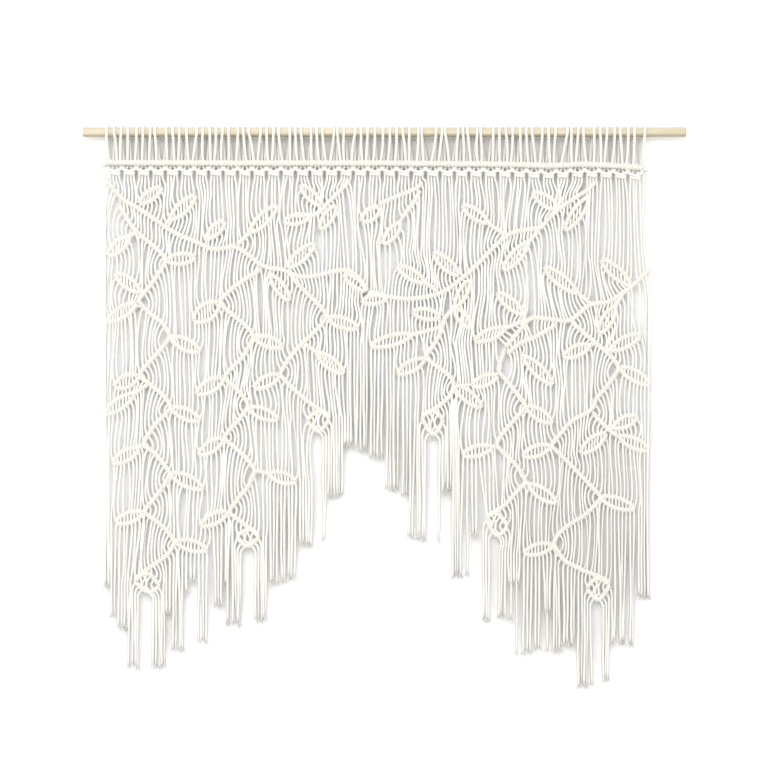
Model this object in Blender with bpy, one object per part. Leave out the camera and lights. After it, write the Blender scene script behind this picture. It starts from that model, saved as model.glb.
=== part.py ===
"""A macrame curtain hung on a wooden rod, in metres, with +Z up.

The origin is on the rod's axis, at the middle of the rod. The curtain hangs in the plane y = 0 and
its front faces -Y. Cords are folded over the rod and hitched to one level bar (the heading). Below
that bar they are tied in a row of square knots, hitched along vines that wander down the panel,
hitched again around leaves, and left as an uneven fringe (the panel).

Sizes and tables are in millimetres. Each strand here stands for about three neighbouring cords.
"""

import math

import bmesh
import bpy
import numpy as np
from mathutils import Vector

MM = 0.001

# Rod
ROD_LENGTH = 1106.0
ROD_DIAMETER = 18.0
ROD_SIDES = 24

# Cord and strands
CORD = 3.2
PANEL_WIDTH = 1000.0
PANEL_MIDDLE = -13.0          # the panel hangs a little to the left of the rod's middle
BAR_LEFT, BAR_RIGHT = -500.0, 489.0   # ends of the hitch bar, across the panel
BAR_LENGTH = BAR_RIGHT - BAR_LEFT
STRAND_COUNT = 46
STRAND_PITCH = BAR_LENGTH / STRAND_COUNT
STRAND_WIDTH = 3.0 * CORD     # three cords side by side
STRAND_DEPTH = CORD
EDGE = 0.5 * (PANEL_WIDTH - STRAND_WIDTH)
CLEARANCE = 0.3               # between touching pieces

# Heading: loops over the rod, and the hitch bar below them
LOOP_COUNT = 37
LOOP_BENDS = 5                # corners of a loop over the top of the rod
LOOP_WIDTH = 2.0 * CORD       # two cords side by side
LOOP_WANDER = 5.0             # how unevenly the loops sit along the rod
LOOP_ROOT = 1.8               # how far its legs stand off the middle of the hitch bar
BAR_HEIGHT = 12.0
BAR_DEPTH = 11.0
BAR_EDGE = 0.6                # depth along the bar's lower edge, as a share of its depth
BAR_RIDGES = 37
BAR_RIDGE_DROP = 0.9          # size between ridges, as a share of the size on them
CORD_END = 8.0                # length of holding cord that sticks out at each end
CORD_ROOT = 5.0               # and how far it reaches into the bar

# Row of square knots under the bar
KNOT_COUNT = 37
KNOT_PITCH = 26.52
FIRST_KNOT = -482.0           # middle of the first one, across the panel
KNOT_HEIGHT = 22.0
KNOT_DEPTH = 11.0

# Vines and leaves
HITCH_PITCH = 22.0            # of a strand along a level bar
VINE_THICKNESS = 10.0
VINE_CORNER = 0.3             # bend left in a vine where it turns back, at the foot of a leaf
VINE_RIDGE = 19.0             # half the spacing of the ridges along a vine
RIDGE_DROP = 0.8              # depth between ridges, as a share of the depth on them
LEAF_BULGE = 0.8              # width of a leaf between the middles of its two sides, as a share
LEAF_DEPTH = 9.0
LEAF_SECTIONS = 5
LEAF_POINT = 0.04             # share of a leaf's length cut off at each of its points
STRAND_ROOT = 5.0             # how far a strand reaches up into the row of knots

# How strands run between the bars that hold them
ROUTE_STEP = 2.0              # spacing of the points of a bar's centre line
LEAN_SHARE = 0.6              # how squarely a strand leaves a bar
LEAN_LIMIT = 1.6              # the steepest slope of a bar that still turns a strand further
LEAN_REACH = 11.0             # drop over which a leaning strand swings back to plumb
LEVEL_POWER = 0.6             # hitches spread along a bar as it steepens, by this power
LEAST_DROP = 2.0              # between two places that hold a strand
PASSING_GAP = 1.0             # beside the end of a bar, for strands that pass it by
LEAST_FRINGE = 30.0           # length of a strand below the last bar
TOO_LOW = 1.0e4               # cost of a hitch on a strand that is already held lower down

COTTON = (0.90, 0.875, 0.82, 1.0)
WOOD = (0.78, 0.67, 0.50, 1.0)

# Centre line of the hitch bar: x across the panel, z below the rod's axis
BAR_LINE = [
    (-500, -56), (-250, -57), (0, -57), (230, -59), (317, -62), (380, -59), (440, -62), (500, -66),
]

# Vines, each a bar of hitches: its bends from the top down, x across the panel and z
VINES = {
    "left_main": [
        (-500, -84), (-470, -121), (-440, -139), (-395, -170), (-370, -186), (-328, -204),
        (-306, -214), (-285, -214), (-262, -210), (-236, -226), (-208, -247), (-173, -253),
        (-148, -264), (-120, -265), (-85, -257), (-54, -254), (-32, -270), (-18, -292),
    ],
    "right_main": [
        (401, -90), (386, -106), (362, -121), (331, -143), (307, -167), (298, -176), (263, -181),
        (239, -189), (216, -209), (184, -242), (155, -268), (117, -295), (63, -306), (20, -302),
        (-18, -294),
    ],
    "far_left": [
        (-476, -130), (-459, -160), (-441, -184), (-417, -204), (-399, -220), (-388, -236),
        (-412, -275), (-439, -309), (-414, -336), (-395, -350), (-381, -376), (-403, -405),
        (-424, -428), (-438, -447), (-419, -462), (-392, -484), (-379, -506), (-408, -537),
        (-421, -556), (-431, -574), (-414, -585), (-395, -606), (-381, -626), (-394, -652),
        (-415, -679), (-429, -697), (-406, -714), (-386, -732), (-372, -751), (-386, -776),
        (-412, -795), (-430, -808), (-446, -821),
    ],
    "mid_left": [
        (-212, -250), (-261, -283), (-291, -312), (-272, -330), (-243, -354), (-227, -374),
        (-246, -411), (-265, -430), (-282, -451), (-261, -470), (-241, -492), (-238, -506),
        (-257, -531), (-271, -546), (-282, -562), (-261, -580), (-243, -596), (-225, -620),
        (-237, -650), (-253, -669), (-273, -697), (-253, -713), (-235, -727), (-217, -741),
    ],
    "centre_left": [
        (-161, -257), (-148, -277), (-104, -321), (-93, -339), (-109, -360), (-135, -385),
        (-157, -409), (-179, -444), (-160, -466), (-128, -494), (-110, -507), (-96, -515),
        (-87, -524),
    ],
    "top_centre": [(-50, -88), (-78, -117), (-93, -132), (-111, -150), (-153, -154)],
    "top_right_upper": [(82, -90), (72, -103), (28, -121), (2, -133)],
    "top_right_lower": [(78, -106), (67, -128), (43, -160)],
    "centre_right": [
        (144, -316), (122, -345), (118, -363), (108, -382), (97, -399), (87, -414), (111, -431),
        (135, -450), (140, -464), (133, -484), (116, -500), (98, -513), (80, -521),
    ],
    "right_upper": [
        (500, -250), (469, -281), (445, -299), (423, -312), (390, -317), (361, -341), (346, -347),
        (313, -343), (284, -341), (269, -354), (234, -396),
    ],
    "right_under": [(330, -352), (293, -374), (260, -389), (238, -408)],
    "far_right": [
        (355, -347), (377, -367), (410, -395), (430, -413), (443, -433), (423, -464), (401, -490),
        (392, -510), (357, -530), (340, -549), (326, -565), (319, -576), (348, -604), (372, -629),
        (410, -670), (383, -701), (357, -717), (331, -738), (324, -758), (343, -786), (361, -796),
        (381, -806), (400, -813), (415, -820), (427, -829),
    ],
    "right_twig": [(394, -514), (410, -532), (428, -549), (439, -558)],
    "mid_right": [
        (234, -396), (221, -437), (234, -453), (252, -475), (272, -503), (240, -541), (225, -559),
        (218, -575), (238, -595), (255, -612), (272, -642), (252, -664), (234, -684), (216, -696),
        (198, -705),
    ],
}

# The larger leaves: foot x, foot z, tip x, tip z, width
LEAVES = [
    (-438, -132, -395, -101, 22),
    (-390, -170, -333, -116, 24),
    (-443, -182, -496, -228, 24),
    (-441, -314, -498, -350, 24),
    (-381, -376, -324, -404, 24),
    (-420, -462, -498, -519, 24),
    (-379, -506, -324, -530, 24),
    (-431, -576, -487, -609, 24),
    (-381, -626, -318, -655, 24),
    (-372, -751, -311, -767, 24),
    (-447, -824, -399, -833, 32),
    (-290, -313, -338, -348, 36),
    (-227, -376, -172, -395, 24),
    (-282, -562, -329, -593, 24),
    (-259, -741, -216, -743, 30),
    (-258, -208, -183, -134, 24),
    (-166, -250, -115, -204, 24),
    (-93, -341, -34, -360, 24),
    (-131, -529, -87, -526, 34),
    (80, -523, 122, -528, 42),
    (388, -118, 344, -182, 24),
    (298, -178, 230, -255, 24),
    (388, -312, 306, -248, 24),
    (450, -297, 406, -371, 24),
    (443, -431, 498, -464, 24),
    (319, -576, 265, -595, 24),
    (197, -707, 240, -724, 38),
    (408, -670, 473, -692, 24),
    (383, -837, 427, -831, 36),
]

# Lower edge of the fringe: x across the panel, z
FRINGE = [
    (-504, -829), (-494, -832), (-486, -885), (-472, -900), (-457, -908), (-454, -980),
    (-434, -985), (-412, -980), (-392, -976), (-389, -880), (-380, -870), (-377, -940),
    (-359, -946), (-355, -840), (-336, -825), (-331, -935), (-302, -934), (-300, -872),
    (-285, -870), (-281, -822), (-275, -822), (-273, -900), (-241, -900), (-223, -894),
    (-203, -892), (-199, -824), (-172, -822), (-148, -810), (-142, -752), (-127, -748),
    (-102, -748), (-91, -744), (-89, -664), (-74, -660), (-50, -575), (-32, -578),
    (-1, -598), (8, -600), (25, -653), (52, -662), (65, -740), (91, -747), (118, -747),
    (121, -650), (136, -648), (139, -811), (170, -815), (173, -735), (185, -738), (188, -893),
    (206, -897), (225, -888), (247, -892), (250, -948), (331, -948), (338, -936), (359, -938),
    (365, -1009), (392, -1009), (399, -1005), (428, -1005), (431, -936), (469, -936),
    (474, -846), (489, -844), (500, -853),
]


# ---------------------------------------------------------------- curves in the panel's plane

def smooth_curve(points, step):
    """A Catmull-Rom curve through the points, less rounded where it turns back across the panel."""
    rows = [np.array(point, float) for point in points]
    rows = [2 * rows[0] - rows[1]] + rows + [2 * rows[-1] - rows[-2]]
    ways = [0.5 * (after - before) for before, after in zip(rows, rows[2:])]
    for k, way in enumerate(ways):
        if (rows[k + 1] - rows[k])[0] * (rows[k + 2] - rows[k + 1])[0] < 0:
            ways[k] = VINE_CORNER * way
    curve = []
    for start, end, leave, arrive in zip(rows[1:], rows[2:-1], ways, ways[1:]):
        for t in np.linspace(0.0, 1.0, 12, endpoint=False):
            curve.append((2 * t ** 3 - 3 * t ** 2 + 1) * start + (t ** 3 - 2 * t ** 2 + t) * leave
                         + (3 * t ** 2 - 2 * t ** 3) * end + (t ** 3 - t ** 2) * arrive)
    curve.append(rows[-2])
    curve = np.array(curve)
    run = path_length(curve)
    places = np.linspace(0.0, run[-1], max(3, int(round(run[-1] / step)) + 1))
    return np.column_stack([np.interp(places, run, curve[:, 0]),
                            np.interp(places, run, curve[:, 1])])


def path_length(curve):
    """Distance along a curve to each of its points."""
    return np.concatenate([[0.0], np.cumsum(np.linalg.norm(np.diff(curve, axis=0), axis=1))])


def one_way_stretches(curve):
    """Splits a curve where it turns back across the panel."""
    way = np.sign(np.diff(curve[:, 0]))
    cuts = [0] + [i for i in range(1, len(way)) if way[i] != way[i - 1]] + [len(curve) - 1]
    return [curve[a:b + 1] for a, b in zip(cuts, cuts[1:]) if b - a >= 3]


class Hitching:
    """A stretch of bar that crosses neighbouring strands once each, read from left to right."""

    def __init__(self, curve):
        self.curve = curve if curve[0, 0] < curve[-1, 0] else curve[::-1]
        self.run = path_length(self.curve)
        self.length = self.run[-1]
        steps = np.diff(self.curve, axis=0)
        lengths = np.linalg.norm(steps, axis=1)
        level = np.clip(np.abs(steps[:, 0]) / lengths, 0.25, 1.0)
        self.hitches = float(np.sum(lengths * level ** LEVEL_POWER)) / HITCH_PITCH

    def at(self, place):
        return (np.interp(place, self.run, self.curve[:, 0]),
                np.interp(place, self.run, self.curve[:, 1]))

    def lean(self, place):
        """Sideways run for each unit of drop of a strand that leaves the bar."""
        x0, z0 = self.at(max(0.0, place - ROUTE_STEP))
        x1, z1 = self.at(min(self.length, place + ROUTE_STEP))
        slope = (z1 - z0) / max(x1 - x0, 0.01)
        return LEAN_SHARE * float(np.clip(slope, -LEAN_LIMIT, LEAN_LIMIT))

    def height_over(self, other):
        """Mean height above another stretch where both span the same strands, or None."""
        low = max(self.curve[0, 0], other.curve[0, 0])
        high = min(self.curve[-1, 0], other.curve[-1, 0])
        if high - low < 1.0:
            return None
        places = np.linspace(low, high, 7)
        return float(np.mean(np.interp(places, self.curve[:, 0], self.curve[:, 1])
                             - np.interp(places, other.curve[:, 0], other.curve[:, 1])))


def knotting_order(stretches):
    """Indices of the stretches in the order of knotting, each after those that lie above it."""
    above = [set() for _ in stretches]
    for i, one in enumerate(stretches):
        for j in range(i + 1, len(stretches)):
            height = one.height_over(stretches[j])
            if height is not None and height > 0:
                above[j].add(i)
            elif height is not None:
                above[i].add(j)
    order = []
    while len(order) < len(stretches):
        left = [k for k in range(len(stretches)) if k not in order]
        ready = [k for k in left if above[k] <= set(order)] or left
        order.append(max(ready, key=lambda k: stretches[k].curve[:, 1].mean()))
    return order


class Strand:
    """A strand's route down the panel: places where it is held, as x, z and lean."""

    def __init__(self, x, z):
        self.held = [(x, z, 0.0)]

    def x_at(self, z):
        """Where the strand hangs at height z, below the last place that holds it."""
        x, z_held, lean = self.held[-1]
        drop = max(0.0, z_held - z)
        swing = lean * LEAN_REACH * (1.0 - math.exp(-drop / LEAN_REACH))
        return min(max(x + swing, -EDGE), EDGE)

    def hold(self, x, z, lean):
        if z < self.held[-1][1] - LEAST_DROP:
            self.held.append((x, z, lean))


def place_along(stretch, strand):
    """Where a strand, left to hang, would meet a stretch; beyond its ends where it passes by."""
    apart = np.array([strand.x_at(z) for z in stretch.curve[:, 1]]) - stretch.curve[:, 0]
    if apart[0] < 0:
        return apart[0]
    if apart[-1] > 0:
        return stretch.length + apart[-1]
    k = max(1, int(np.argmax(apart <= 0)))
    share = apart[k - 1] / max(apart[k - 1] - apart[k], 1e-6)
    return stretch.run[k - 1] + share * (stretch.run[k] - stretch.run[k - 1])


def tie(stretch, strands):
    """Hitches a run of neighbouring strands along a stretch, evenly, and parts the others."""
    places = np.array([place_along(stretch, strand) for strand in strands])
    crossing = int(np.sum((places > 0) & (places < stretch.length)))
    count = max(1, crossing, int(round(stretch.hitches)))
    slots = (np.arange(count) + 0.5) / count * stretch.length
    slot_z = np.array([stretch.at(slot)[1] for slot in slots])
    last_z = np.array([strand.held[-1][1] for strand in strands])
    costs = []
    for first in range(len(strands) - count + 1):
        chosen = slice(first, first + count)
        too_low = np.sum(last_z[chosen] < slot_z + LEAST_DROP)
        costs.append(float(np.sum((places[chosen] - slots) ** 2)) + TOO_LOW * too_low)
    first = int(np.argmin(costs))
    for strand, slot in zip(strands[first:first + count], slots):
        strand.hold(*stretch.at(slot), stretch.lean(slot))
    part(strands[:first][::-1], stretch.at(0.0), -1)
    part(strands[first + count:], stretch.at(stretch.length), 1)


def part(strands, end, side):
    """Keeps the strands that pass by the end of a stretch clear of it and of each other."""
    x, z = end
    for strand in strands:
        x += side * (STRAND_WIDTH + PASSING_GAP)
        clear = (strand.x_at(z) - x) * side >= 0
        if clear or abs(x) > EDGE or strand.held[-1][1] < z + LEAST_DROP:
            return
        strand.hold(x, z, 0.0)


# ---------------------------------------------------------------- solids

def new_object(name, bm, material, collection):
    bmesh.ops.recalc_face_normals(bm, faces=bm.faces)
    mesh = bpy.data.meshes.new(name)
    bm.to_mesh(mesh)
    bm.free()
    mesh.materials.append(material)
    obj = bpy.data.objects.new(name, mesh)
    collection.objects.link(obj)
    return obj


def add_loft(bm, rings):
    """Adds a closed loft through rings of equal count, given as (x, y, z) in the panel's sizes."""
    loops = []
    for ring in rings:
        loops.append([bm.verts.new(((x + PANEL_MIDDLE) * MM, y * MM, z * MM)) for x, y, z in ring])
    sides = len(loops[0])
    for upper, lower in zip(loops, loops[1:]):
        for k in range(sides):
            following = (k + 1) % sides
            bm.faces.new((upper[k], upper[following], lower[following], lower[k]))
    bm.faces.new(loops[0][::-1])
    bm.faces.new(loops[-1])


def across(curve, k):
    """Unit direction across a curve, in the panel's plane, at its point k."""
    along = curve[min(k + 1, len(curve) - 1)] - curve[max(k - 1, 0)]
    along = along / np.linalg.norm(along)
    return np.array((-along[1], along[0]))


def box_section(centre, direction, half_width, half_depth):
    """Four corners around a centre, the direction lying in the panel's plane."""
    x, z = centre
    dx, dz = direction * half_width
    return [(x + dx, -half_depth, z + dz), (x - dx, -half_depth, z - dz),
            (x - dx, half_depth, z - dz), (x + dx, half_depth, z + dz)]


def add_ridged_bar(bm, curve, thickness):
    """A bar of hitches: a square section along a curve, deep and shallow by turns."""
    rings = []
    for k, centre in enumerate(curve):
        share = 1.0 if k % 2 == 0 else RIDGE_DROP
        rings.append(box_section(centre, across(curve, k), 0.5 * thickness,
                                 0.5 * BAR_DEPTH * share))
    add_loft(bm, rings)


def add_leaf(bm, foot_x, foot_z, tip_x, tip_z, width):
    """A leaf: a lens with cross ridges, pointed at its foot and its tip."""
    foot, tip = np.array((foot_x, foot_z), float), np.array((tip_x, tip_z), float)
    places = np.linspace(LEAF_POINT, 1.0 - LEAF_POINT, LEAF_SECTIONS)
    curve = np.array([foot + (tip - foot) * place for place in places])
    rings = []
    for k, place in enumerate(places):
        share = 1.0 if k % 2 == 1 else RIDGE_DROP
        swell = math.sin(math.pi * place)
        half_width = 0.5 * (LEAF_BULGE * width + VINE_THICKNESS) * swell ** 0.75
        half_depth = 0.5 * LEAF_DEPTH * share * swell ** 0.4
        rings.append(box_section(curve[k], across(curve, k), half_width, half_depth))
    add_loft(bm, rings)


def add_strand(bm, strand, top_z):
    """A three-sided strand through the places that hold it, down to the fringe's edge."""
    route = [(x, z) for x, z, _ in strand.held]
    route[0] = (route[0][0], top_z)
    z_held = route[-1][1]
    x_end = strand.x_at(z_held - 10.0 * LEAN_REACH)
    z_end = min(on_table(FRINGE, x_end), z_held - LEAST_FRINGE)
    route.append((x_end, max(z_held - 2.5 * LEAN_REACH, z_end + LEAST_DROP)))
    route.append((x_end, z_end))
    rings = []
    for k, (x, z) in enumerate(route):
        side = across(np.array(route), k) * 0.5 * STRAND_WIDTH
        half = 0.5 * STRAND_DEPTH
        rings.append([(x - side[0], half, z - side[1]), (x, -half, z),
                      (x + side[0], half, z + side[1])])
    add_loft(bm, rings)


def on_table(table, x):
    """Height at x, read between the rows of a table of x and z."""
    return np.interp(x, [row[0] for row in table], [row[1] for row in table])


def knot_row_top(x):
    return on_table(BAR_LINE, x) - 0.5 * BAR_HEIGHT - CLEARANCE


def add_knot_row(bm):
    """The row of square knots: a strip with a swell for each knot, just below the bar."""
    rings = []
    for k in range(2 * KNOT_COUNT + 1):
        x = FIRST_KNOT + 0.5 * (k - 1) * KNOT_PITCH
        share = 1.0 if k % 2 == 1 else RIDGE_DROP
        top = knot_row_top(x)
        half = 0.5 * KNOT_DEPTH * share
        bottom = top - KNOT_HEIGHT * share
        rings.append([(x, -half, top), (x, -half, bottom), (x, half, bottom), (x, half, top)])
    add_loft(bm, rings)


def knot_row_bottom(x):
    return knot_row_top(x) - RIDGE_DROP * KNOT_HEIGHT


def knot_panel():
    """The strands of the panel, hitched along every vine and leaf from the top down."""
    strands = []
    for k in range(STRAND_COUNT):
        x = BAR_LEFT + (k + 0.5) * STRAND_PITCH
        strands.append(Strand(x, knot_row_bottom(x)))
    stretches = []
    for bends in VINES.values():
        curve = smooth_curve(bends, ROUTE_STEP)
        stretches += [Hitching(stretch) for stretch in one_way_stretches(curve)]
    for foot_x, foot_z, tip_x, tip_z, _ in LEAVES:
        midrib = smooth_curve([(foot_x, foot_z), (tip_x, tip_z)], ROUTE_STEP)
        stretches.append(Hitching(midrib))
    for k in knotting_order(stretches):
        tie(stretches[k], strands)
    return strands


def make_panel(material, collection, parts):
    """Joins the knot row, vines, leaves and strands into one solid."""
    bars = bmesh.new()
    add_knot_row(bars)
    for bends in VINES.values():
        add_ridged_bar(bars, smooth_curve(bends, VINE_RIDGE), VINE_THICKNESS)
    for leaf in LEAVES:
        add_leaf(bars, *leaf)
    panel = new_object("panel", bars, material, collection)
    cords = bmesh.new()
    for strand in knot_panel():
        add_strand(cords, strand, strand.held[0][1] + STRAND_ROOT)
    strands = new_object("panel_strands", cords, material, parts)
    join(panel, strands)
    return panel


def join(obj, other):
    """Adds a Boolean union, which also fuses what overlaps within either mesh."""
    union = obj.modifiers.new("join", "BOOLEAN")
    union.operation = "UNION"
    union.solver = "EXACT"
    union.use_self = True
    union.object = other
    other.hide_render = True
    other.display_type = "WIRE"


def make_heading(material, collection, parts):
    """Cords folded over the rod, and the level bar that they are hitched to."""
    bar = bmesh.new()
    places = np.linspace(BAR_LEFT, BAR_RIGHT, 2 * BAR_RIDGES + 1)
    rings = []
    edge = 0.5 * BAR_EDGE * BAR_DEPTH
    for k, x in enumerate(places):
        share = 1.0 if k % 2 == 1 else BAR_RIDGE_DROP
        z = on_table(BAR_LINE, x)
        low, high = z - 0.5 * BAR_HEIGHT, z + 0.5 * BAR_HEIGHT * share
        half = 0.5 * BAR_DEPTH * share
        rings.append([(x, -edge, low), (x, -half, z), (x, 0.0, high), (x, half, z), (x, edge, low)])
    add_loft(bar, rings)
    for end, side in ((BAR_LEFT, -1), (BAR_RIGHT, 1)):
        ends = (end - side * CORD_ROOT, end + side * CORD_END)
        curve = np.array([(x, on_table(BAR_LINE, x)) for x in ends])
        add_loft(bar, [box_section(point, across(curve, 0), 0.5 * CORD, 0.5 * CORD)
                       for point in curve])
    heading = new_object("heading", bar, material, collection)
    loops = bmesh.new()
    for k in range(LOOP_COUNT):
        add_rod_loop(loops, k)
    join(heading, new_object("heading_loops", loops, material, parts))
    return heading


def add_rod_loop(bm, k):
    """Two cords side by side, folded over the rod, with their ends in the hitch bar."""
    x_low = BAR_LEFT + (k + 0.5) * BAR_LENGTH / LOOP_COUNT
    x_top = x_low + LOOP_WANDER * (math.sin(2.4 * k) + 0.4 * math.sin(5.1 * k + 1.0))
    bar_z = on_table(BAR_LINE, x_low)
    centres = [(x_low, -LOOP_ROOT, bar_z)]
    half_bend = 0.5 * math.pi / (LOOP_BENDS - 1)
    radius = (0.5 * ROD_DIAMETER + CLEARANCE + 0.5 * STRAND_DEPTH) / math.cos(half_bend)
    for bend in range(LOOP_BENDS):
        turn = 2.0 * half_bend * bend
        centres.append((x_top, -radius * math.cos(turn), radius * math.sin(turn)))
    centres.append((x_low, LOOP_ROOT, bar_z))
    rings = []
    for i, (x, y, z) in enumerate(centres):
        before, after = centres[max(i - 1, 0)], centres[min(i + 1, len(centres) - 1)]
        along = Vector((0.0, after[1] - before[1], after[2] - before[2])).normalized()
        out = Vector((0.0, -along.z, along.y)) * 0.5 * STRAND_DEPTH
        half = 0.5 * LOOP_WIDTH
        rings.append([(x - half, y + out.y, z + out.z), (x + half, y + out.y, z + out.z),
                      (x + half, y - out.y, z - out.z), (x - half, y - out.y, z - out.z)])
    add_loft(bm, rings)


def make_rod(material, collection):
    """The plain dowel that the cords are folded over."""
    bpy.ops.mesh.primitive_cylinder_add(vertices=ROD_SIDES, radius=0.5 * ROD_DIAMETER * MM,
                                        depth=ROD_LENGTH * MM, rotation=(0, math.pi / 2, 0))
    rod = bpy.context.object
    rod.name = "rod"
    rod.data.materials.append(material)
    for owner in list(rod.users_collection):
        owner.objects.unlink(rod)
    collection.objects.link(rod)
    return rod


def make_material(name, colour, roughness):
    material = bpy.data.materials.new(name)
    material.use_nodes = True
    shader = material.node_tree.nodes["Principled BSDF"]
    shader.inputs["Base Color"].default_value = colour
    shader.inputs["Roughness"].default_value = roughness
    shader.inputs["Metallic"].default_value = 0.0
    return material


def main():
    for obj in list(bpy.data.objects):
        bpy.data.objects.remove(obj)
    curtain = bpy.data.collections.new("macrame_curtain")
    parts = bpy.data.collections.new("joined_parts")
    for collection in (curtain, parts):
        bpy.context.scene.collection.children.link(collection)
    cotton = make_material("cotton_cord", COTTON, 0.9)
    wood = make_material("pale_wood", WOOD, 0.6)
    make_rod(wood, curtain)
    make_heading(cotton, curtain, parts)
    make_panel(cotton, curtain, parts)


main()
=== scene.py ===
"""Looks of the macrame curtain: every cord, hitch and knot, the rod's wood, the stage and camera.

The curtain hangs in the plane y = 0 and its front faces -Y. Sizes and tables are in millimetres,
as in the part's source. A table's x runs across the panel from the panel's own middle, and z is
the height from the rod's axis.

A macrame panel is knotted from the top down. Each bar of the pattern, a vine or one side of a
leaf, crosses a run of neighbouring cords, and each of these is hitched round it. The same order
is kept here: knot_panel() takes the bars from the top down and hitches the cords along them.
"""

import math

import bpy
import numpy as np
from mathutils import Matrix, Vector


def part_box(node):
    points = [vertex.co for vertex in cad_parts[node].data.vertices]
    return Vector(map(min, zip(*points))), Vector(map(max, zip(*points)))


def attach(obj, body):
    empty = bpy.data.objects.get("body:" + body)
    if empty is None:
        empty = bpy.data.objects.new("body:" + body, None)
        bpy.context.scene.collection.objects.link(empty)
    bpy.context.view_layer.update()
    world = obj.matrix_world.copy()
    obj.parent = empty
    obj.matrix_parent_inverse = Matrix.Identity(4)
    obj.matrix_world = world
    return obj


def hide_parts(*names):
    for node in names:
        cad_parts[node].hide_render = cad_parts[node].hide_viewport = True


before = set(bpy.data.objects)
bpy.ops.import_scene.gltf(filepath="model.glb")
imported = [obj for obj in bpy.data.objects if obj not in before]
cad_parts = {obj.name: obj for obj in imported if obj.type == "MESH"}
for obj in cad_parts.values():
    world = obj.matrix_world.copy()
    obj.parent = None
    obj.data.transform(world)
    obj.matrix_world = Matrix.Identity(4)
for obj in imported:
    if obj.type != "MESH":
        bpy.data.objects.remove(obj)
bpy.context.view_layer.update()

MM = 0.001
RANDOM = np.random.default_rng(7)

# ---- sizes and tables, in mm

PANEL_WIDTH = 1000.0
PANEL_MIDDLE = -13.0  # from the rod's middle
STRAND_COUNT = 150
STRAND_PITCH = 6.63  # of the strands along the hitch bar
FIRST_STRAND = -498.6  # where the first one hangs from it
CORD = 4.6  # a cord that hangs loose
TIGHT_CORD = 3.4  # the same cord pulled tight in a hitch
SLACK_CORD = 4.9  # and at its slackest, over the rod and just under the bar
TAIL_CORD = 5.9  # and in its tail, where it has begun to untwist
EDGE = 0.5 * (PANEL_WIDTH - CORD)
EDGE_SLACK = 2.0  # how far a strand may drift past it
FRONT = (0.0, -1.0, 0.0)  # towards the front of the curtain

ROD_RADIUS = 9.0
ROD_CLEARANCE = 0.3  # between the rod and the cords on it

# Hitch bar under the rod, and the row of square knots below it
BAR_LEFT, BAR_RIGHT = -500.0, 489.0
BAR_RADIUS = 6.0
BAR_END = 8.0  # length of twine that sticks out at each end of the bar
STRAND_ROOT = 2.0  # from the bar's middle down to where a strand starts
KNOT_COUNT = 37
KNOT_DROP = 23.0  # from the middle of the bar to the middle of a knot
KNOT_HEIGHT = 11.0
KNOT_GATHER = 0.83  # how closely a knot draws its four cords together
KNOT_EYE = 5.0  # from a knot's middle to its inner cords, in the eye above it
EYE_RISE = 12.0  # of that eye above the knot's middle
KNOT_CORD = 5.6  # thickness of the cords that close over a knot

# Vines and leaves
VINE_RADIUS = 5.0
LEAF_BAR_RADIUS = 4.8
VINE_CORNER = 0.3  # bend left in a vine where it turns back, at the foot of a leaf
HITCH_PITCH = 6.9  # of a strand along a level bar
LEAF_BULGE = 0.80  # from a leaf's midrib to the middle of its side, in half widths
LEAF_POWER = 0.75  # of the sine that its sides follow: fuller below 1
LEAF_POINTS = 17
STEM_POINTS = 6
STEM_END = 0.9  # share of the stem up to the last of its points
CURVE_POINTS = 12  # between two bends of a smooth curve

# How strands run between the bars that hold them
ROUTE_STEP = 2.0
LEAN_SHARE = 0.75  # how squarely a strand meets and leaves a bar
LEAN_LIMIT = 1.3  # the steepest slope of a bar that still turns a strand further
LEAN_REACH = 7.0  # drop over which a leaning strand swings most of the way back to plumb
PLUMB_DROP = 70.0  # and after which it hangs plumb
BEND_REACH = 12.0  # length of the bends at the ends of a span
BEND_SHARE = 0.36  # and the most they take of a short span's drop
LEVEL_POWER = 0.8  # hitches spread along a bar as it steepens, by this power
LEAST_DROP = 2.0  # between two places that hold a strand
PASSING_GAP = 0.7  # beside the end of a bar, for strands that pass it by
TIP_GAP = 1.0  # more room beside the very end of it
LEAST_LEVEL = 0.25  # of a bar, below which its hitches spread no further
LEAST_OVERLAP = 1.0  # across the panel, for one bar to lie above another
OVERLAP_PLACES = 7  # at which their heights are compared
EXTRA_HITCHES = 2  # most that a leaf or bud takes beyond its even number
STEM_HITCHES = 0.9  # share of a stem's strands that skip the lower side
BUNCH_PITCH = 5.2  # of the strands that hang from a bud in two bunches
BUNCH_INSET = 0.6  # of these bunches from the bud's corners, in such pitches
LEAST_FRINGE = 30.0  # length of a strand below the last bar
BUNCH_STEP = 14.0  # most that the ends of one bunch differ by in the table
BUNCH_GAP = 9.5  # most between neighbours in one bunch where they hang
BUNCH_REACH = 60.0  # drop over which the strands of a bunch draw together
BUNCH_MOST = 5  # tails in one bunch
BUNCH_LEAST = 3
BUNCH_RISE = (-3.0, 6.0)  # of a bunch's end over the table's height
TAIL_PITCH = 5.7  # between the ends of a bunch
TAIL_STAGGER = 0.7  # of neighbours in a bunch, to the front and the back in turn
SHORT_FRONT = 0.8  # of a short bunch before the others, in cord thicknesses
TOO_LOW = 60.0  # cost of a hitch on a strand that is held lower down already

# Centre line of the hitch bar: x across the panel, z
BAR_LINE = [
    (-500, -56), (-250, -57), (0, -57), (230, -59), (317, -62), (380, -59), (440, -62), (500, -66),
]

# Places along the rod where the cords part: x, and how far they draw back on each side
ROD_GAPS = [
    (-394, 7), (-337, 4), (-266, 2), (-229, 5), (-174, 4), (-128, 5), (-86, 4), (-54, 7), (98, 11),
    (138, 7), (169, 4), (202, 8), (295, 2), (340, 5), (386, 3), (474, 3),
]
ROD_GAP_REACH = 15.0

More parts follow.
